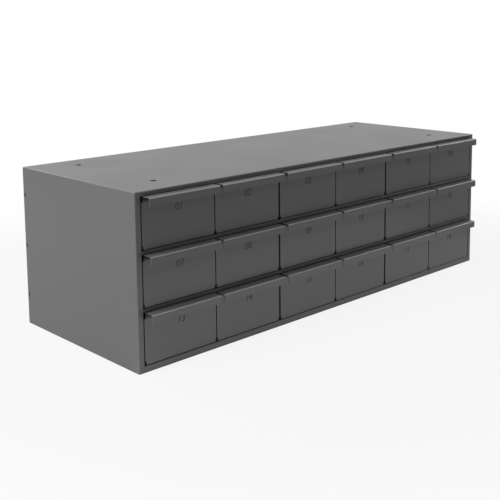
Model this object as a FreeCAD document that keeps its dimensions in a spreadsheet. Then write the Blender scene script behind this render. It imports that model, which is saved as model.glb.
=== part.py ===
import FreeCAD, Part
import os
import re

# A bench-top drawer cabinet in folded sheet steel, three rows of six drawers.
# The origin is the middle of the footprint on the floor. X is to the right, Y to the back, Z up.

rows = ["bottom", "middle", "top"]
columns = 6

# Driving sizes, in millimetres.
sizes = {
    "casing_width": 857.25,
    "casing_depth": 317.5,
    "casing_height": 269.875,
    "sheet_gauge": 1.0,
    "fold_radius": 1.8,
    "stile_width": 9.6,
    "bottom_rail": 10.2,
    "top_rail": 6.4,
    "shelf_rail": 5.4,
    "rear_recess": 3.5,
    "back_flange": 10.0,
    "bolt_side_inset": 76.2,
    "bolt_front_inset": 57.15,
    "bolt_spacing_deep": 209.55,
    "bolt_hole_radius": 4.5,
    "tab_height": 4.4,
    "slot_clearance": 0.7,
    "side_gap": 1.8,
    "pair_gap": 1.8,
    "bay_gap": 3.8,
    "front_wing": 2.0,
    "wing_base_relief": 6.0,
    "wing_top_relief": 9.5,
    "lip_reach": 17.5,
    "lip_drop": 12.6,
    "tray_wall": 69.85,
    "ear_length": 36.0,
    "ear_set_in": 4.0,
    "ear_corner": 3.0,
    "guide_set_back": 4.0,
    "run_clearance": 0.3,
    "lip_clearance": 0.7,
    "closed_clearance": 0.5,
    "guide_clearance": 1.0,
    "ear_clearance": 1.8,
    "weld_gap": 0.2,
}

# Places and sizes that follow from the driving ones, as expressions.
derived = {
    "side_x": "casing_width / 2",
    "inner_x": "side_x - sheet_gauge",
    "opening_x": "side_x - stile_width",
    "front_y": "-(casing_depth - lip_reach) / 2",
    "rear_y": "front_y + casing_depth",
    "back_inner_y": "rear_y - rear_recess - sheet_gauge",
    "opening_height": "(casing_height - bottom_rail - top_rail - (row_count - 1) * shelf_rail) / row_count",
    "row_pitch": "opening_height + shelf_rail",
    "top_underside": "casing_height - sheet_gauge",
    "inner_fold": "fold_radius - sheet_gauge",
    "front_width": "(2 * opening_x - 2 * side_gap - pair_gap_count * pair_gap - bay_gap_count * bay_gap)"
                   " / column_count",
    "tray_width": "front_width - 2 * front_wing",
    "lip_y": "front_y - lip_reach",
    "tray_back_y": "back_inner_y - closed_clearance",
    "tray_base": "bottom_rail + run_clearance",
    "tray_top": "tray_base + tray_wall",
    "lip_top": "bottom_rail + opening_height - lip_clearance",
    "ear_back_y": "tray_back_y - ear_set_in",
    "ear_front_y": "ear_back_y - ear_length",
    "ear_top": "bottom_rail + opening_height + shelf_rail - sheet_gauge - ear_clearance",
    "guide_front_y": "front_y + guide_set_back",
    "guide_back_y": "back_inner_y - back_flange - weld_gap",
    "first_front_x": "-opening_x + side_gap",
}
counts = {
    "row_count": len(rows),
    "column_count": columns,
    "pair_gap_count": columns // 2,
    "bay_gap_count": (columns - 1) // 2,
}
reach = 5.0  # how far a cutting block runs past what it cuts

doc = FreeCAD.newDocument("DrawerCabinet")
sheet = doc.addObject("Spreadsheet::Sheet", "Sizes")
for line, (name, value) in enumerate(sizes.items(), 1):
    sheet.set(f"A{line}", name)
    sheet.set(f"B{line}", str(value))
    sheet.setAlias(f"B{line}", name)
doc.recompute()


# Writes named sizes out as references to the sheet.
def written_out(text):
    def swap(match):
        word = match.group(0)
        if word in derived:
            return "(" + written_out(derived[word]) + ")"
        if word in counts:
            return str(counts[word])
        return "Sizes." + word if word in sizes else word
    return re.sub(r"[A-Za-z_]+", swap, text)


def bind(item, sizes_by_property):
    for name, text in sizes_by_property.items():
        item.setExpression(name, written_out(text))


def value_of(text):
    return float(sheet.evalExpression(written_out(text)))


# A block between two places along each axis.
def block(name, x, y, z):
    item = doc.addObject("Part::Box", name)
    bind(item, {
        "Length": f"({x[1]}) - ({x[0]})",
        "Width": f"({y[1]}) - ({y[0]})",
        "Height": f"({z[1]}) - ({z[0]})",
        "Placement.Base.x": x[0],
        "Placement.Base.y": y[0],
        "Placement.Base.z": z[0],
    })
    return item


# Rounds the edges of a block that lie between two of its sides, such as front and top.
def rounded(base, radius, corners):
    doc.recompute()
    limits = base.Shape.BoundBox
    sides = {
        "left": ("x", limits.XMin), "right": ("x", limits.XMax),
        "front": ("y", limits.YMin), "back": ("y", limits.YMax),
        "base": ("z", limits.ZMin), "top": ("z", limits.ZMax),
    }

    def lies_between(edge, corner):
        places = [sides[side] for side in corner]
        return all(abs(getattr(point.Point, axis) - level) < 1e-6
                   for point in edge.Vertexes for axis, level in places)

    item = doc.addObject("Part::Fillet", base.Name + "_rounded")
    item.Base = base
    size = value_of(radius)
    item.Edges = [(number, size, size) for number, edge in enumerate(base.Shape.Edges, 1)
                  if any(lies_between(edge, corner) for corner in corners)]
    return item


def joined(name, items):
    item = doc.addObject("Part::MultiFuse", name)
    item.Shapes = items
    item.Refine = True
    return item


def cut(name, base, tools):
    item = doc.addObject("Part::Cut", name)
    item.Base = base
    item.Tool = tools[0] if len(tools) == 1 else joined(name + "_tools", tools)
    item.Refine = True
    return item


# A folded sheet: a rounded block with a smaller one, one sheet thickness inside it, taken out.
def folded(name, outside, inside, corners):
    outer = rounded(block(name + "_outside", *outside), "fold_radius", corners)
    inner = rounded(block(name + "_inside", *inside), "inner_fold", corners)
    return cut(name, outer, [inner])


def bolt_holes(name, low, high):
    holes = []
    for side, x in (("left", "-side_x + bolt_side_inset"), ("right", "side_x - bolt_side_inset")):
        for place, y in (("front", "front_y + bolt_front_inset"),
                         ("back", "front_y + bolt_front_inset + bolt_spacing_deep")):
            hole = doc.addObject("Part::Cylinder", f"{name}_{side}_{place}")
            bind(hole, {
                "Radius": "bolt_hole_radius",
                "Height": f"({high}) - ({low})",
                "Placement.Base.x": x,
                "Placement.Base.y": y,
                "Placement.Base.z": low,
            })
            holes.append(hole)
    return holes


def shelf_top(row):
    return f"(bottom_rail + {row} * row_pitch)"


# The underside of whatever closes the row from above.
def row_ceiling(row):
    if row == len(rows) - 1:
        return "top_underside"
    return f"({shelf_top(row + 1)} - sheet_gauge)"


def front_left(column):
    pairs = (column + 1) // 2
    bays = column // 2
    return f"(first_front_x + {column} * front_width + {pairs} * pair_gap + {bays} * bay_gap)"


# The tabs of the back panel and the slots they sit in, one at the middle of each row on both sides.
def side_tabs(name, clearance):
    items = []
    for row, row_name in enumerate(rows):
        middle = f"({shelf_top(row)} + opening_height / 2)"
        for side, x in (("left", ("-side_x", "-inner_x")), ("right", ("inner_x", "side_x"))):
            past = clearance if clearance == "0" else str(reach)
            items.append(block(
                f"{name}_{side}_{row_name}",
                (f"{x[0]} - {past}" if side == "left" else x[0],
                 x[1] if side == "left" else f"{x[1]} + {past}"),
                (f"back_inner_y - {clearance}", f"back_inner_y + sheet_gauge + {clearance}"),
                (f"{middle} - tab_height / 2 - {clearance}", f"{middle} + tab_height / 2 + {clearance}"),
            ))
    return items


def casing_wrap():
    shell = folded(
        "wrap_shell",
        (("-side_x", "side_x"), ("front_y", "rear_y"), ("0", "casing_height")),
        (("-inner_x", "inner_x"), ("front_y + sheet_gauge", f"rear_y + {reach}"), (f"-{reach}", "top_underside")),
        [("left", "top"), ("right", "top"), ("front", "top"), ("left", "front"), ("right", "front")],
    )
    opening = block(
        "wrap_opening",
        ("-opening_x", "opening_x"),
        (f"front_y - {reach}", "front_y + fold_radius"),
        (f"-{reach}", "casing_height - top_rail"),
    )
    holes = bolt_holes("wrap_hole", f"casing_height - {reach}", f"casing_height + {reach}")
    return cut("casing_wrap", shell, [opening] + holes + side_tabs("wrap_slot", "slot_clearance"))


# A full-width sheet with its edges folded down. The front fold is the rail between the stiles.
def tray_panel(name, low, top, holes):
    sheet_body = folded(
        name + "_sheet",
        (("-inner_x", "inner_x"), ("front_y", "back_inner_y"), (low, top)),
        (("-inner_x + sheet_gauge", "inner_x - sheet_gauge"),
         ("front_y + sheet_gauge", "back_inner_y - sheet_gauge"),
         (f"{low} - {reach}", f"{top} - sheet_gauge")),
        [("front", "top")],
    )
    notches = []
    for side, x in (("left", (f"-side_x - {reach}", "-opening_x + weld_gap")),
                    ("right", ("opening_x - weld_gap", f"side_x + {reach}"))):
        notches.append(block(
            f"{name}_notch_{side}", x,
            (f"front_y - {reach}", "front_y + fold_radius"), (f"{low} - {reach}", f"{top} + {reach}"),
        ))
    return cut(name, sheet_body, notches + holes)


def back_panel():
    sheet_body = folded(
        "back_sheet",
        (("-inner_x", "inner_x"), ("back_inner_y + sheet_gauge - back_flange", "back_inner_y + sheet_gauge"),
         ("0", "top_underside")),
        ((f"-side_x - {reach}", f"side_x + {reach}"),
         (f"back_inner_y - back_flange - {reach}", "back_inner_y"), (f"-{reach}", "top_underside - sheet_gauge")),
        [("back", "top"), ("left", "top"), ("right", "top")],
    )
    return joined("back_panel", [sheet_body] + side_tabs("back_tab", "0"))


# The guide between two drawers: a narrow channel, open at the front and the top.
def middle_guide(name, column, row):
    gap = "pair_gap" if column % 2 else "bay_gap"
    centre = f"({front_left(column)} - {gap} / 2)"
    length = ("guide_front_y", "guide_back_y")
    outer = block(
        name + "_outside",
        (f"{centre} - {gap} / 2 - sheet_gauge", f"{centre} + {gap} / 2 + sheet_gauge"),
        length, (shelf_top(row), row_ceiling(row)),
    )
    inner = block(
        name + "_inside",
        (f"{centre} - {gap} / 2", f"{centre} + {gap} / 2"),
        (f"guide_front_y - {reach}", f"guide_back_y + {reach}"),
        (f"{shelf_top(row)} + sheet_gauge", f"{row_ceiling(row)} + {reach}"),
    )
    return cut(name, outer, [inner])


# The guide beside an outer drawer: an upright with flanges towards the side of the casing.
def end_guide(name, row):
    web_right = f"({front_left(0)} + front_wing - guide_clearance)"
    web_left = f"({web_right} - sheet_gauge)"
    outer = block(
        name + "_outside",
        ("-inner_x + sheet_gauge + weld_gap", web_right),
        ("guide_front_y", "guide_back_y"), (shelf_top(row), row_ceiling(row)),
    )
    inner = block(
        name + "_inside",
        (f"-side_x - {reach}", web_left),
        (f"guide_front_y - {reach}", f"guide_back_y + {reach}"),
        (f"{shelf_top(row)} + sheet_gauge", f"{row_ceiling(row)} - sheet_gauge"),
    )
    return cut(name, outer, [inner])


def mirrored(name, source):
    item = doc.addObject("Part::Mirroring", name)
    item.Source = source
    item.Normal = FreeCAD.Vector(1, 0, 0)
    return item


# The drawer of the bottom row's first column.
def first_drawer(name):
    left = f"({front_left(0)} + front_wing)"
    right = f"({left} + tray_width)"
    tray = folded(
        "drawer_tray",
        ((left, right), ("front_y", "tray_back_y"), ("tray_base", "tray_top")),
        ((f"{left} + sheet_gauge", f"{right} - sheet_gauge"),
         ("front_y + sheet_gauge", "tray_back_y - sheet_gauge"),
         ("tray_base + sheet_gauge", f"tray_top + {reach}")),
        [("left", "base"), ("right", "base"), ("front", "base"), ("back", "base")],
    )
    front = block(
        "drawer_front",
        (f"{left} - front_wing", f"{right} + front_wing"),
        ("front_y", "front_y + sheet_gauge"),
        ("tray_base + wing_base_relief", "lip_top - wing_top_relief"),
    )
    lip = folded(
        "drawer_lip",
        ((left, right), ("lip_y", "front_y + sheet_gauge"), ("lip_top - lip_drop", "lip_top")),
        ((f"{left} - {reach}", f"{right} + {reach}"), ("lip_y + sheet_gauge", "front_y"),
         (f"lip_top - lip_drop - {reach}", "lip_top - sheet_gauge")),
        [("front", "top"), ("back", "top")],
    )
    ears = [
        rounded(block("drawer_ear_" + side, x, ("ear_front_y", "ear_back_y"),
                      ("tray_top - ear_corner", "ear_top")),
                "ear_corner", [("front", "top"), ("back", "top")])
        for side, x in (("left", (left, f"{left} + sheet_gauge")), ("right", (f"{right} - sheet_gauge", right)))
    ]
    return joined(name, [tray, front, lip] + ears)


# The same piece again, moved across and up.
def repeated(name, source, across, up):
    item = doc.addObject("Part::Compound", name)
    item.Links = [source]
    bind(item, {"Placement.Base.x": across, "Placement.Base.z": up})
    return item


bottom_holes = bolt_holes("bottom_hole", f"-{reach}", f"bottom_rail + {reach}")
pieces = [
    casing_wrap(),
    tray_panel("bottom_panel", "0", "bottom_rail", bottom_holes),
    tray_panel("shelf_lower", f"{shelf_top(1)} - shelf_rail", shelf_top(1), []),
    tray_panel("shelf_upper", f"{shelf_top(2)} - shelf_rail", shelf_top(2), []),
    back_panel(),
]
for row, row_name in enumerate(rows):
    left_end = end_guide(f"guide_{row_name}_1", row)
    between = [middle_guide(f"guide_{row_name}_{column + 1}", column, row) for column in range(1, columns)]
    right_end = mirrored(f"guide_{row_name}_{columns + 1}", left_end)
    pieces += [left_end] + between + [right_end]

model_drawer = first_drawer("drawer_bottom_1")
pieces.append(model_drawer)
for row, row_name in enumerate(rows):
    for column in range(columns):
        if row or column:
            pieces.append(repeated(
                f"drawer_{row_name}_{column + 1}", model_drawer,
                f"{front_left(column)} - {front_left(0)}", f"{row} * row_pitch",
            ))

doc.recompute()
for item in doc.Objects:
    if "Invalid" in item.State or "Error" in item.State:
        raise RuntimeError(f"{item.Label} did not build: {item.State}")
for piece in pieces:
    if piece.Shape.isNull() or not piece.Shape.isValid() or len(piece.Shape.Solids) != 1:
        raise RuntimeError(f"{piece.Label} is not one sound solid")

os.makedirs("parts", exist_ok=True)
for piece in pieces:
    piece.Label = piece.Name
    piece.Shape.exportStep(f"parts/{piece.Label}.step")
limits = Part.makeCompound([piece.Shape for piece in pieces]).BoundBox
print(len(pieces), "pieces", "x", round(limits.XMin, 3), round(limits.XMax, 3),
      "y", round(limits.YMin, 3), round(limits.YMax, 3), "z", round(limits.ZMin, 3), round(limits.ZMax, 3))
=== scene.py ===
import math

import bpy
from mathutils import Euler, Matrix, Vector


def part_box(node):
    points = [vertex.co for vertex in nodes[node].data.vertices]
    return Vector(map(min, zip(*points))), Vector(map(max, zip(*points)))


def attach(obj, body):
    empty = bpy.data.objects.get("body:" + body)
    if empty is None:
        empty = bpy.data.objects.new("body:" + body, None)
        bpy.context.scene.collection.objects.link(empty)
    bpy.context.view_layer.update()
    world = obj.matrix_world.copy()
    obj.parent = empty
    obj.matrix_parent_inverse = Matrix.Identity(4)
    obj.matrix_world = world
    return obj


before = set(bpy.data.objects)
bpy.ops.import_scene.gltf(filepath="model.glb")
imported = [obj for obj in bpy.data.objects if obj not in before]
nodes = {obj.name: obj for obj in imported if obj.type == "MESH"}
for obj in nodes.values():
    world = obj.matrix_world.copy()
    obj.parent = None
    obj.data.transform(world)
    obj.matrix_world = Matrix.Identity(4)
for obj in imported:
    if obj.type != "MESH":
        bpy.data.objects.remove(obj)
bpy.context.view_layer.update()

scene = bpy.context.scene
rows = ["top", "middle", "bottom"]  # of drawers, in the order of their numbers
columnCount = 6
print("frame loaded:", len(nodes), "nodes")


# camera, from the photograph's viewing angle
cameraSet = {
    "place": (-1.1489, -1.1677, 0.5165),
    "turn": (82.359, 0.474, -43.923),  # degrees
    "lens": 63.81,
    "sensor": 36,
    "shift": (-0.030, -0.230),
    "farthest": 50,
}


def makeCamera(values):
    data = bpy.data.cameras.new("camera")
    data.sensor_width = values["sensor"]
    data.lens = values["lens"]
    data.shift_x, data.shift_y = values["shift"]
    data.clip_end = values["farthest"]
    camera = bpy.data.objects.new("camera", data)
    camera.location = values["place"]
    camera.rotation_euler = Euler([math.radians(v) for v in values["turn"]])
    scene.collection.objects.link(camera)
    scene.camera = camera


makeCamera(cameraSet)
print("camera set")


# small helpers for node trees: an input is given a socket to be linked to, or a plain value
def addNode(tree, kind, inputs=None, **settings):
    node = tree.nodes.new(kind)
    for name, value in settings.items():
        setattr(node, name, value)
    for name, value in (inputs or {}).items():
        if isinstance(value, bpy.types.NodeSocket):
            tree.links.new(value, node.inputs[name])
        else:
            node.inputs[name].default_value = value
    return node


def calc(tree, operation, *values):
    return addNode(tree, "ShaderNodeMath", dict(enumerate(values)), operation=operation).outputs[0]


# zero at the first limit, one at the second and beyond it
def ramp(tree, value, start, end, **settings):
    limits = {"Value": value, "From Min": start, "From Max": end}
    return addNode(tree, "ShaderNodeMapRange", limits, **settings).outputs["Result"]


# the first number where the mask is empty, the second where it is full
def blend(tree, mask, empty, full):
    mixed = addNode(tree, "ShaderNodeMix", {"Factor": mask, 2: empty, 3: full}, data_type="FLOAT")
    return mixed.outputs[0]


def noise(tree, place, scale, detail, roughness=0.5):
    settings = {"Vector": place, "Scale": scale, "Detail": detail, "Roughness": roughness}
    return addNode(tree, "ShaderNodeTexNoise", settings).outputs["Fac"]


def newGroup(name, inputs, outputs, kind="ShaderNodeTree"):
    tree = bpy.data.node_groups.new(name, kind)
    for label, socket, value in inputs:
        item = tree.interface.new_socket(label, in_out="INPUT", socket_type=socket)
        if value is not None:
            item.default_value = value
    for label, socket in outputs:
        tree.interface.new_socket(label, in_out="OUTPUT", socket_type=socket)
    given = tree.nodes.new("NodeGroupInput").outputs
    made = tree.nodes.new("NodeGroupOutput").inputs
    return tree, given, made


def newMaterial(name):
    material = bpy.data.materials.new(name)
    material.use_nodes = True
    return material, material.node_tree, material.node_tree.nodes["Principled BSDF"].inputs


# a text's or a modifier's result as a mesh
def plainMesh(source):
    bpy.context.view_layer.update()
    settled = source.evaluated_get(bpy.context.evaluated_depsgraph_get())
    return bpy.data.meshes.new_from_object(settled)


# powder coat: orange peel, a faint wave in the sheet and slow changes of tone and roughness
def makePowderCoat():
    tree, given, made = newGroup(
        "powderCoat",
        [("Tint", "NodeSocketColor", (0.2, 0.2, 0.2, 1)),
         ("Tone Scale", "NodeSocketFloat", 7.0),
         ("Tone Spread", "NodeSocketFloat", 0.05),
         ("Speckle Scale", "NodeSocketFloat", 2600.0),
         ("Speckle", "NodeSocketFloat", 0.04),
         ("Peel Scale", "NodeSocketFloat", 700.0),
         ("Peel Depth", "NodeSocketFloat", 0.00003),
         ("Wave Scale", "NodeSocketFloat", 11.0),
         ("Wave Depth", "NodeSocketFloat", 0.0002),
         ("Rough Low", "NodeSocketFloat", 0.36),
         ("Rough High", "NodeSocketFloat", 0.48)],
        [("Color", "NodeSocketColor"), ("Roughness", "NodeSocketFloat"), ("Normal", "NodeSocketVector")])
    place = addNode(tree, "ShaderNodeTexCoord").outputs["Object"]
    slow = noise(tree, place, given["Tone Scale"], detail=3.0)
    fine = noise(tree, place, given["Speckle Scale"], detail=1.0)
    peel = noise(tree, place, given["Peel Scale"], detail=2.0, roughness=0.4)
    wave = noise(tree, place, given["Wave Scale"], detail=0.0)

    # tone: one plus the slow and the fine variation, each centred on nothing
    noiseMiddle = 0.5
    slowTone = calc(tree, "MULTIPLY", calc(tree, "SUBTRACT", slow, noiseMiddle), given["Tone Spread"])
    finePart = calc(tree, "SUBTRACT", fine, noiseMiddle)
    tone = calc(tree, "ADD", calc(tree, "MULTIPLY_ADD", finePart, given["Speckle"], slowTone), 1.0)
    tinted = addNode(tree, "ShaderNodeVectorMath", {0: given["Tint"], "Scale": tone}, operation="SCALE")
    tree.links.new(tinted.outputs["Vector"], made["Color"])

    # roughness over the middle part of the slow noise, which seldom leaves it
    rough = addNode(tree, "ShaderNodeMapRange",
                    {"Value": slow, "From Min": 0.3, "From Max": 0.7,
                     "To Min": given["Rough Low"], "To Max": given["Rough High"]})
    tree.links.new(rough.outputs["Result"], made["Roughness"])

    waved = addNode(tree, "ShaderNodeBump",
                    {"Height": wave, "Distance": given["Wave Depth"], "Strength": 1.0})
    peeled = addNode(tree, "ShaderNodeBump",
                     {"Height": peel, "Distance": given["Peel Depth"], "Strength": 1.0,
                      "Normal": waved.outputs["Normal"]})
    tree.links.new(peeled.outputs["Normal"], made["Normal"])
    return tree


# masks by the way a surface looks: folds turn between two of the axes, level faces look straight up
foldSet = {
    "straight": 0.05,  # sum of the products of the normal's parts, up to which a surface is no fold
    "folded": 0.3,  # the same sum, from which it is a full one
    "downward": -0.1,  # upward part of the normal, below which a fold looks down
    "tilted": 0.9,  # upward part up to which a face isn't level
    "level": 0.98,
}


def makeFoldMask(values):
    tree, _, made = newGroup(
        "foldMask", [],
        [("Upper", "NodeSocketFloat"), ("Lower", "NodeSocketFloat"), ("Level", "NodeSocketFloat")])
    normal = addNode(tree, "ShaderNodeTexCoord").outputs["Normal"]
    upward = addNode(tree, "ShaderNodeSeparateXYZ", {"Vector": normal}).outputs["Z"]
    size = addNode(tree, "ShaderNodeVectorMath", {0: normal}, operation="ABSOLUTE").outputs["Vector"]
    part = addNode(tree, "ShaderNodeSeparateXYZ", {"Vector": size}).outputs
    first = calc(tree, "MULTIPLY", part["X"], part["Y"])
    second = calc(tree, "MULTIPLY_ADD", part["Y"], part["Z"], first)
    turned = calc(tree, "MULTIPLY_ADD", part["Z"], part["X"], second)
    fold = ramp(tree, turned, values["straight"], values["folded"], interpolation_type="SMOOTHSTEP")
    lower = calc(tree, "MULTIPLY", fold, calc(tree, "LESS_THAN", upward, values["downward"]))
    tree.links.new(calc(tree, "SUBTRACT", fold, lower), made["Upper"])
    tree.links.new(lower, made["Lower"])
    tree.links.new(ramp(tree, upward, values["tilted"], values["level"]), made["Level"])
    return tree


# mask of the hollow under a pull lip, where painted shade darkens the coat: it grows from the mouth to
# the lip
def makeLipShadeMask():
    tree, given, made = newGroup(
        "channelMask",
        [("Lip Top", "NodeSocketFloat", 0.09),
         ("Row Pitch", "NodeSocketFloat", 0.086),
         ("Front Face", "NodeSocketFloat", -0.15),
         ("Lip Inside", "NodeSocketFloat", -0.166),
         ("Lid", "NodeSocketFloat", 0.0005),  # below the lip's top, past its own top face
         ("Full Depth", "NodeSocketFloat", 0.004),  # the mask is full here
         ("Mouth Depth", "NodeSocketFloat", 0.011)],  # and ends here
        [("Mask", "NodeSocketFloat")])
    place = addNode(tree, "ShaderNodeTexCoord").outputs["Object"]
    part = addNode(tree, "ShaderNodeSeparateXYZ", {"Vector": place}).outputs
    under = calc(tree, "SUBTRACT", given["Lip Top"], part["Z"])
    depth = calc(tree, "FLOORED_MODULO", under, given["Row Pitch"])
    deep = ramp(tree, depth, given["Mouth Depth"], given["Full Depth"])
    underLid = calc(tree, "GREATER_THAN", depth, given["Lid"])
    inFront = calc(tree, "GREATER_THAN", given["Front Face"], part["Y"])
    behindLip = calc(tree, "GREATER_THAN", part["Y"], given["Lip Inside"])
    hollow = calc(tree, "MULTIPLY", calc(tree, "MULTIPLY", inFront, behindLip), underLid)
    tree.links.new(calc(tree, "MULTIPLY", hollow, deep), made["Mask"])
    return tree


# mask of the edges of the bolt holes, where painted shade darkens the holes and their rims
def makeHoleShadeMask():
    tree, given, made = newGroup(
        "holeShadeMask",
        [("Middle", "NodeSocketVector", None),
         ("Half Spacing", "NodeSocketVector", None),
         ("Inner Radius", "NodeSocketFloat", 0.0050),
         ("Outer Radius", "NodeSocketFloat", 0.0054)],
        [("Mask", "NodeSocketFloat")])
    place = addNode(tree, "ShaderNodeTexCoord").outputs["Object"]
    away = addNode(tree, "ShaderNodeVectorMath", {0: place, 1: given["Middle"]}, operation="SUBTRACT")
    folded = addNode(tree, "ShaderNodeVectorMath", {0: away.outputs["Vector"]}, operation="ABSOLUTE")
    gap = addNode(tree, "ShaderNodeVectorMath",
                  {0: folded.outputs["Vector"], 1: given["Half Spacing"]}, operation="SUBTRACT")
    radius = addNode(tree, "ShaderNodeVectorMath", {0: gap.outputs["Vector"]}, operation="LENGTH")
    mask = ramp(tree, radius.outputs["Value"], given["Outer Radius"], given["Inner Radius"],
                interpolation_type="SMOOTHSTEP")
    tree.links.new(mask, made["Mask"])
    return tree


# mask of the cut ends of the drawer fronts, which face each other across the gaps; they take painted
# shade that darkens the gaps
def makeEndShadeMask():
    tree, given, made = newGroup(
        "endShadeMask",
        [("Front Face", "NodeSocketFloat", -0.15),
         ("Sheet", "NodeSocketFloat", 0.001),
         ("Slack", "NodeSocketFloat", -0.0002),  # starts this little in front of the face
         ("Least Turn", "NodeSocketFloat", 0.8)],  # sideways part of the normal
        [("Mask", "NodeSocketFloat")])
    place = addNode(tree, "ShaderNodeTexCoord").outputs
    turn = addNode(tree, "ShaderNodeSeparateXYZ", {"Vector": place["Normal"]}).outputs["X"]
    sideways = calc(tree, "GREATER_THAN", calc(tree, "ABSOLUTE", turn), given["Least Turn"])
    depth = addNode(tree, "ShaderNodeSeparateXYZ", {"Vector": place["Object"]}).outputs["Y"]
    behind = calc(tree, "SUBTRACT", depth, given["Front Face"])
    thin = calc(tree, "LESS_THAN", behind, given["Sheet"])
    inside = calc(tree, "GREATER_THAN", behind, given["Slack"])
    mask = calc(tree, "MULTIPLY", calc(tree, "MULTIPLY", thin, inside), sideways)
    tree.links.new(mask, made["Mask"])
    return tree


# mask of what stands in front of a depth and between two heights, with soft borders
def makeBandMask():
    tree, given, made = newGroup(
        "bandMask",
        [("Front Face", "NodeSocketFloat", -0.15),
         ("Low", "NodeSocketFloat", 0.263),
         ("High", "NodeSocketFloat", 0.268),
         ("Border", "NodeSocketFloat", 0.001)],
        [("Mask", "NodeSocketFloat")])
    place = addNode(tree, "ShaderNodeTexCoord").outputs["Object"]
    part = addNode(tree, "ShaderNodeSeparateXYZ", {"Vector": place}).outputs
    inFront = calc(tree, "GREATER_THAN", given["Front Face"], part["Y"])
    above = calc(tree, "SUBTRACT", part["Z"], given["Low"])
    below = calc(tree, "SUBTRACT", given["High"], part["Z"])
    soft = ramp(tree, calc(tree, "MINIMUM", above, below), 0.0, given["Border"])
    tree.links.new(calc(tree, "MULTIPLY", soft, inFront), made["Mask"])
    return tree


powderCoat = makePowderCoat()
foldMask = makeFoldMask(foldSet)
channelMask = makeLipShadeMask()
holeShadeMask = makeHoleShadeMask()
endShadeMask = makeEndShadeMask()
bandMask = makeBandMask()
print("coat and masks built")


# the powder coat on each kind of sheet
paintSet = {
    "casing": {"Tint": (0.145, 0.145, 0.145, 1), "Tone Spread": 0.035, "Speckle": 0.05,
               "Wave Depth": 0.00006, "Rough Low": 0.28, "Rough High": 0.34},
    # the shelves have a darker copy of the casing's coat: painted shade on the rails between the rows
    "shelf": {"Tint": (0.045, 0.045, 0.045, 1), "Tone Spread": 0.035, "Speckle": 0.05,
              "Rough Low": 0.42, "Rough High": 0.52},
    "drawer": {"Tint": (0.145, 0.145, 0.145, 1), "Tone Spread": 0.045, "Speckle": 0.05,
               "Wave Depth": 0.00004, "Rough Low": 0.28, "Rough High": 0.32},
    "specular": 0.65,
    # tone of the coat on folds that look up or sideways, on those that look down, and on level faces:
    # painted highlights on the casing's folds and on the drawers' upper folds and level faces, painted
    # shade on the upper folds of the shelves and floor and on the drawers' downward folds
    "casingFoldHighlight": (1.1, 1.0, 1.0),
    "shelfFoldShade": (0.5, 1.0, 1.0),
    "drawerFoldLightAndShade": (3.5, 0.4, 1.7),
    # tone of the coat where one of the masks is full: painted shade in the lip hollows, at the hole
    # edges and on the front ends, and painted light and shade on the top rail
    "channel": 0.1,
    "holeShade": 0.03,
    "frontEndShade": 0.15,
    "topRailLightAndShade": 1.3,
}

# where the bolt holes of the top lie
boltSet = {
    "sideInset": 0.0762,
    "frontInset": 0.05715,
    "spacingDeep": 0.20955,
}

# how the masks lie on the sheets, in metres
reachSet = {
    "intoFace": 0.0005,  # how far the hollow's mask reaches into the face behind a lip
    "lipSheet": 0.0012,  # from a lip's front to just behind its sheet
    "frontSheet": 0.0011,  # from a drawer's face to just behind its sheet
    "railDepth": 0.0008,  # from the casing's front into the sheet of its top rail
    "railLow": 0.0075,  # below the casing's top
    "railHigh": 0.0007,
    "railBorder": 0.0006,
}

# how a drawer's pull lip is told from the rest of it
lipSet = {
    "reach": 0.002,  # what lies this near to the foremost point is the lip
    "clear": 0.03,  # this far below the lip's top, the foremost point is on the face
}


def lipOf(drawer, values):
    corners = [drawer.matrix_world @ v.co for v in drawer.data.vertices]
    front = min(c.y for c in corners)
    top = max(c.z for c in corners if c.y < front + values["reach"])
    face = min(c.y for c in corners if c.z < top - values["clear"])
    return {"top": top, "front": front, "face": face}


def makePaint(name, values, foldLightTones, markedPlaces=()):
    material, tree, shader = newMaterial(name)
    coat = addNode(tree, "ShaderNodeGroup", node_tree=powderCoat)
    for label, value in values.items():
        coat.inputs[label].default_value = value
    folds = addNode(tree, "ShaderNodeGroup", node_tree=foldMask).outputs
    # the fold and level masks paint highlights and shade with these tones
    tone = 1.0
    for maskName, foldLightTone in zip(("Upper", "Lower", "Level"), foldLightTones):
        tone = blend(tree, folds[maskName], tone, foldLightTone)
    # where one of these masks is full, the coat has the tone given with it and is fully rough: painted
    # shade, and on the top rail painted light and shade, with the sheen taken away
    rough = coat.outputs["Roughness"]
    for maskTree, maskTone, places in markedPlaces:
        mask = addNode(tree, "ShaderNodeGroup", node_tree=maskTree)
        for label, value in places.items():
            mask.inputs[label].default_value = value
        tone = blend(tree, mask.outputs["Mask"], tone, maskTone)
        rough = blend(tree, mask.outputs["Mask"], rough, 1.0)
    toned = addNode(tree, "ShaderNodeVectorMath",
                    {0: coat.outputs["Color"], "Scale": tone}, operation="SCALE")
    tree.links.new(toned.outputs["Vector"], shader["Base Color"])
    tree.links.new(rough, shader["Roughness"])
    tree.links.new(coat.outputs["Normal"], shader["Normal"])
    shader["Specular IOR Level"].default_value = paintSet["specular"]
    return material


lip = lipOf(nodes["drawer_bottom_1"], lipSet)
nextLip = lipOf(nodes["drawer_middle_1"], lipSet)
casingLow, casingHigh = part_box("casing_wrap")
boltMiddle = lip["face"] + boltSet["frontInset"] + boltSet["spacingDeep"] / 2
# where the painted shade at the bolt holes lies
holePlaces = {
    "Middle": (0.0, boltMiddle, casingHigh[2]),
    "Half Spacing": (casingHigh[0] - boltSet["sideInset"], boltSet["spacingDeep"] / 2, 0.0),
}
# the casing's top rail takes painted light and shade: its own tone and no sheen
railPlaces = {
    "Front Face": lip["face"] + reachSet["railDepth"],
    "Low": casingHigh[2] - reachSet["railLow"],
    "High": casingHigh[2] - reachSet["railHigh"],
    "Border": reachSet["railBorder"],
}
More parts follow.
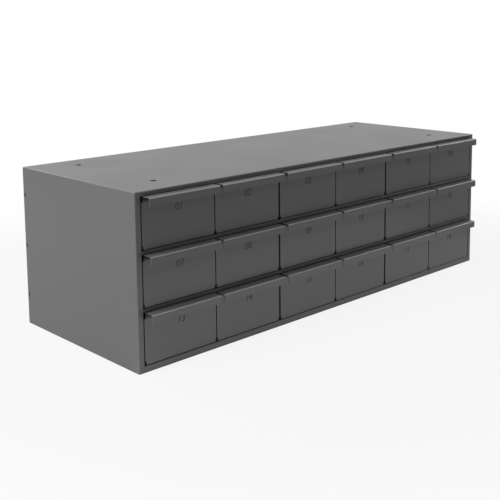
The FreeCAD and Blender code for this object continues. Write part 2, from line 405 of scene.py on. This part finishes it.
# where the painted shade under the pull lips lies
channelPlaces = {
    "Lip Top": lip["top"],
    "Row Pitch": nextLip["top"] - lip["top"],
    "Front Face": lip["face"] + reachSet["intoFace"],
    "Lip Inside": lip["front"] + reachSet["lipSheet"],
}
# where the painted shade on the ends of the fronts lies
endPlaces = {
    "Front Face": lip["face"],
    "Sheet": reachSet["frontSheet"],
}
casingPaint = makePaint("casingPaint", paintSet["casing"], paintSet["casingFoldHighlight"], [
    (holeShadeMask, paintSet["holeShade"], holePlaces),
    (bandMask, paintSet["topRailLightAndShade"], railPlaces),
])
basePaint = makePaint("basePaint", paintSet["casing"], paintSet["shelfFoldShade"])
shelfPaint = makePaint("shelfPaint", paintSet["shelf"], paintSet["shelfFoldShade"])
drawerPaint = makePaint("drawerPaint", paintSet["drawer"], paintSet["drawerFoldLightAndShade"], [
    (channelMask, paintSet["channel"], channelPlaces),
    (endShadeMask, paintSet["frontEndShade"], endPlaces),
])


def paintFor(name):
    if name.startswith("drawer"):
        return drawerPaint
    if name.startswith("shelf"):
        return shelfPaint
    if name == "bottom_panel":
        return basePaint
    return casingPaint


for name, node in nodes.items():
    node.data.materials.clear()
    node.data.materials.append(paintFor(name))
print("paint on every sheet")


# plain numbers on the drawer fronts, printed just below the pull lip
numberSet = {
    "height": 0.0110,  # of a capital
    "capital": 0.7,  # height of a capital as a share of the font's size
    "weight": 0.00025,  # added to every side of a stroke
    "below": 0.0245,  # from the lip's top to the middle of the digits
    "film": 0.00012,
    "curveSteps": 6,
    "ink": (0.045, 0.045, 0.045, 1),
    "lightInk": 1.5,  # the lightest grain, times the ink
    "grainScale": 1800.0,
    "roughness": 0.55,
}


def makeInk(values):
    material, tree, shader = newMaterial("numberInk")
    place = addNode(tree, "ShaderNodeTexCoord").outputs["Object"]
    grain = noise(tree, place, values["grainScale"], detail=2.0)
    dark = values["ink"]
    light = tuple(values["lightInk"] * v for v in dark[:3]) + (1,)
    tone = addNode(tree, "ShaderNodeMix", {"Factor": grain, 6: dark, 7: light}, data_type="RGBA")
    tree.links.new(tone.outputs[2], shader["Base Color"])
    shader["Roughness"].default_value = values["roughness"]
    return material


def makeNumber(text, drawer, values, material):
    across = [(drawer.matrix_world @ v.co).x for v in drawer.data.vertices]
    middle = (min(across) + max(across)) / 2
    curve = bpy.data.curves.new("digits", "FONT")
    curve.body = text
    curve.align_x = "CENTER"
    curve.align_y = "CENTER"
    curve.size = values["height"] / values["capital"]
    curve.offset = values["weight"]
    curve.resolution_u = values["curveSteps"]
    curve.extrude = values["film"] / 2
    digits = bpy.data.objects.new("digits", curve)
    scene.collection.objects.link(digits)
    mesh = plainMesh(digits)
    bpy.data.objects.remove(digits)
    place = lipOf(drawer, lipSet)
    surface = place["face"] - values["film"] / 2
    centre = place["top"] - values["below"]
    for v in mesh.vertices:
        v.co = (middle + v.co.x, surface - v.co.z, centre + v.co.y)
    mesh.materials.clear()
    mesh.materials.append(material)
    piece = bpy.data.objects.new("number_" + text, mesh)
    scene.collection.objects.link(piece)
    return piece


numberInk = makeInk(numberSet)
for row, rowName in enumerate(rows):
    for column in range(columnCount):
        bodyName = f"drawer_{rowName}_{column + 1}"
        number = columnCount * row + column + 1
        piece = makeNumber(f"{number:02d}", nodes[bodyName], numberSet, numberInk)
        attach(piece, bodyName)
print("numbers on the drawers")


# what every upright grid of small marks is given
gridInputs = [
    ("Width", "NodeSocketFloat", 0.7),
    ("Row Pitch", "NodeSocketFloat", 0.086),
    ("Per Row", "NodeSocketInt", 9),
    ("Rows", "NodeSocketInt", 3),
    ("Place", "NodeSocketVector", None),
    ("Material", "NodeSocketMaterial", None),
]
backLow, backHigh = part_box("back_panel")
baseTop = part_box("bottom_panel")[1][2]
shelfUnderside, shelfTop = (corner[2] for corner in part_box("shelf_lower"))
rowPitch = shelfTop - baseTop


# sets a mark on every point of a grid, which lies flat until it is stood up and moved to its place
def spreadOnGrid(tree, given, made, mark, scale=None):
    tall = calc(tree, "MULTIPLY", calc(tree, "SUBTRACT", given["Rows"], 1.0), given["Row Pitch"])
    grid = addNode(tree, "GeometryNodeMeshGrid",
                   {"Size X": given["Width"], "Size Y": tall,
                    "Vertices X": given["Per Row"], "Vertices Y": given["Rows"]})
    marks = addNode(tree, "GeometryNodeInstanceOnPoints",
                    {"Points": grid.outputs["Mesh"], "Instance": mark})
    if scale:
        tree.links.new(scale, marks.inputs["Scale"])
    quarterTurn = (math.radians(90), 0.0, 0.0)
    stood = addNode(tree, "GeometryNodeTransform",
                    {"Geometry": marks.outputs["Instances"], "Translation": given["Place"],
                     "Rotation": quarterTurn})
    real = addNode(tree, "GeometryNodeRealizeInstances", {"Geometry": stood.outputs["Geometry"]})
    painted = addNode(tree, "GeometryNodeSetMaterial",
                      {"Geometry": real.outputs["Geometry"], "Material": given["Material"]})
    tree.links.new(painted.outputs["Geometry"], made["Geometry"])


# runs a geometry tree and keeps its result as a plain mesh
def grown(name, tree, values):
    carrier = bpy.data.objects.new(name, bpy.data.meshes.new(name))
    scene.collection.objects.link(carrier)
    modifier = carrier.modifiers.new(name, "NODES")
    modifier.node_group = tree
    for item in tree.interface.items_tree:
        if item.in_out == "INPUT" and item.name in values:
            modifier[item.identifier] = values[item.name]
    mesh = plainMesh(carrier)
    carrier.modifiers.remove(modifier)
    if mesh.materials[0] is None:  # an empty slot can come before the tree's material
        mesh.materials.pop(index=0)
    carrier.data = mesh
    return carrier


# spot-weld marks on the back, along the rear flanges of the floor and the shelves
weldSet = {
    "perRow": 9,
    "radius": 0.0033,
    "radiusSteps": 28,
    "rim": 0.0006,  # half of it stands out of the sheet
    "rimSteps": 10,
    "spread": 0.12,  # of the size, from mark to mark
    "sideInset": 0.060,
    "seed": 7,
}


def makeWeldTree():
    tree, given, made = newGroup(
        "weldMarks", gridInputs + [
            ("Radius", "NodeSocketFloat", 0.0033),
            ("Radius Steps", "NodeSocketInt", 28),
            ("Rim", "NodeSocketFloat", 0.0006),
            ("Rim Steps", "NodeSocketInt", 10),
            ("Spread", "NodeSocketFloat", 0.1),
            ("Seed", "NodeSocketInt", 1)],
        [("Geometry", "NodeSocketGeometry")], "GeometryNodeTree")
    # the print of the electrode: a low round rim
    path = addNode(tree, "GeometryNodeCurvePrimitiveCircle",
                   {"Resolution": given["Radius Steps"], "Radius": given["Radius"]})
    section = addNode(tree, "GeometryNodeCurvePrimitiveCircle",
                      {"Resolution": given["Rim Steps"], "Radius": given["Rim"]})
    ring = addNode(tree, "GeometryNodeCurveToMesh",
                   {"Curve": path.outputs["Curve"], "Profile Curve": section.outputs["Curve"]})
    least = calc(tree, "SUBTRACT", 1.0, given["Spread"])
    size = addNode(tree, "FunctionNodeRandomValue",
                   {"Seed": given["Seed"], 2: least, 3: 1.0}, data_type="FLOAT")
    spreadOnGrid(tree, given, made, ring.outputs["Mesh"], size.outputs[1])
    return tree


welds = grown("weld_marks", makeWeldTree(), {
    "Width": backHigh[0] - backLow[0] - 2 * weldSet["sideInset"],
    "Row Pitch": rowPitch,
    "Per Row": weldSet["perRow"],
    "Rows": len(rows),
    "Place": (0.0, backHigh[1], (shelfUnderside + shelfTop) / 2),
    "Material": casingPaint,
    "Radius": weldSet["radius"],
    "Radius Steps": weldSet["radiusSteps"],
    "Rim": weldSet["rim"],
    "Rim Steps": weldSet["rimSteps"],
    "Spread": weldSet["spread"],
    "Seed": weldSet["seed"],
})
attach(welds, "root")
print("spot welds on the back:", len(welds.data.vertices), "vertices")


# dark pieces in the slots of the sides, round the tabs of the back: painted shade that makes the slots
# read dark
slotShadeSet = {
    "wide": 0.0036,
    "high": 0.0059,
    "thick": 0.0009,
    "proud": 0.00008,  # of the casing's side
    "inset": 0.0011,  # from the back's outer face to the middle of a slot
    "colour": (0.012, 0.012, 0.012, 1),
    "roughness": 0.7,
    "lumpScale": 1500.0,
    "lumpDepth": 0.0001,
}


# a dark, lumpy material for the painted shade in the slots
def makePaintedSlotShade(values):
    material, tree, shader = newMaterial("paintedSlotShade")
    place = addNode(tree, "ShaderNodeTexCoord").outputs["Object"]
    grain = noise(tree, place, values["lumpScale"], detail=2.0)
    lumps = addNode(tree, "ShaderNodeBump", {"Height": grain, "Distance": values["lumpDepth"]})
    tree.links.new(lumps.outputs["Normal"], shader["Normal"])
    shader["Base Color"].default_value = values["colour"]
    shader["Roughness"].default_value = values["roughness"]
    return material


def makeSlotShadeTree():
    tree, given, made = newGroup(
        "slotShadeGrid", gridInputs + [("Fill", "NodeSocketVector", None)],
        [("Geometry", "NodeSocketGeometry")], "GeometryNodeTree")
    block = addNode(tree, "GeometryNodeMeshCube", {"Size": given["Fill"]})
    spreadOnGrid(tree, given, made, block.outputs["Mesh"])
    return tree


slotShadePiece = grown("slot_shades", makeSlotShadeTree(), {
    "Width": casingHigh[0] - casingLow[0] + 2 * slotShadeSet["proud"] - slotShadeSet["thick"],
    "Row Pitch": rowPitch,
    "Per Row": 2,  # one in each side
    "Rows": len(rows),
    "Place": (0.0, backHigh[1] - slotShadeSet["inset"], (baseTop + shelfUnderside) / 2 + rowPitch),
    "Material": makePaintedSlotShade(slotShadeSet),
    "Fill": (slotShadeSet["thick"], slotShadeSet["high"], slotShadeSet["wide"]),
})
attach(slotShadePiece, "root")
print("painted_slot_shade in the side slots:", len(slotShadePiece.data.vertices), "vertices")


# background: what the camera sees is white, and gloss mirrors a slightly darker room
worldSet = {
    "seen": 1.0,
    "mirrored": 0.7,
    "ambient": 0.0,
}


def makeWorld(values):
    world = bpy.data.worlds.new("studio")
    world.use_nodes = True
    tree = world.node_tree
    tree.nodes.clear()
    path = addNode(tree, "ShaderNodeLightPath").outputs
    shown = calc(tree, "MAXIMUM", path["Is Camera Ray"], path["Is Transmission Ray"])
    unseen = blend(tree, path["Is Glossy Ray"], values["ambient"], values["mirrored"])
    strength = blend(tree, shown, unseen, values["seen"])
    light = addNode(tree, "ShaderNodeBackground", {"Color": (1, 1, 1, 1), "Strength": strength})
    output = addNode(tree, "ShaderNodeOutputWorld")
    tree.links.new(light.outputs[0], output.inputs["Surface"])
    scene.world = world


# pale floor that keeps the shadow near the cabinet and turns white further out
floorSet = {
    "half": 8.0,
    "colour": (0.8, 0.8, 0.8, 1),
    "white": 0.88,  # share of plain white in what the camera sees, near the cabinet
    "fadeFrom": 0.6,  # metres from the middle of the cabinet
    "fadeTo": 1.1,
}


def makeFloor(values):
    half = values["half"]
    mesh = bpy.data.meshes.new("floor")
    corners = [(-half, -half, 0), (half, -half, 0), (half, half, 0), (-half, half, 0)]
    mesh.from_pydata(corners, [], [(0, 1, 2, 3)])
    floor = bpy.data.objects.new("floor", mesh)
    scene.collection.objects.link(floor)
    material, tree, _ = newMaterial("paleFloor")
    tree.nodes.clear()
    seen = addNode(tree, "ShaderNodeLightPath").outputs["Is Camera Ray"]
    place = addNode(tree, "ShaderNodeTexCoord").outputs["Object"]
    away = addNode(tree, "ShaderNodeVectorMath", {0: place}, operation="LENGTH").outputs["Value"]
    white = addNode(tree, "ShaderNodeMapRange",
                    {"Value": away, "From Min": values["fadeFrom"], "From Max": values["fadeTo"],
                     "To Min": values["white"], "To Max": 1.0}, interpolation_type="SMOOTHSTEP")
    share = calc(tree, "MULTIPLY", seen, white.outputs["Result"])
    plain = addNode(tree, "ShaderNodeBsdfDiffuse", {"Color": values["colour"]})
    glow = addNode(tree, "ShaderNodeEmission", {"Color": (1, 1, 1, 1), "Strength": 1.0})
    mixed = addNode(tree, "ShaderNodeMixShader", {0: share, 1: plain.outputs[0], 2: glow.outputs[0]})
    output = addNode(tree, "ShaderNodeOutputMaterial")
    tree.links.new(mixed.outputs[0], output.inputs["Surface"])
    mesh.materials.append(material)


# soft boxes round the cabinet, alike unless they say otherwise
lampSet = {
    "shared": {"aim": (0.0, 0.0, 0.13), "size": (1.8, 1.8)},
    "lamps": {
        "overhead": {"place": (-1.1, 0.3, 2.7), "power": 22},
        "leftSide": {"place": (-3.2, 0.3, 1.1), "power": 60},
        "rightSide": {"place": (3.1, -0.3, 1.3), "power": 33},
        "behind": {"place": (0.0, 2.6, 2.0), "power": 17},
        "inFront": {"place": (0.0, -2.4, 2.3), "power": 5.0},
        # light that the floor just in front throws up
        "reflector": {"place": (0.0, -0.34, 0.0005), "power": 0.56,
                      "aim": (0.0, -0.3399, 1.0), "size": (1.2, 0.4)},
    },
}


def makeLamp(name, values):
    data = bpy.data.lights.new(name, "AREA")
    data.shape = "RECTANGLE"
    data.size, data.size_y = values["size"]
    data.energy = values["power"]
    lamp = bpy.data.objects.new(name, data)
    lamp.visible_camera = False
    lamp.location = values["place"]
    way = Vector(values["aim"]) - Vector(values["place"])
    lamp.rotation_euler = way.to_track_quat("-Z", "Y").to_euler()
    scene.collection.objects.link(lamp)


makeWorld(worldSet)
makeFloor(floorSet)
for lampName, lampValues in lampSet["lamps"].items():
    makeLamp(lampName, {**lampSet["shared"], **lampValues})
scene.view_settings.view_transform = "Standard"
print("light and floor set")
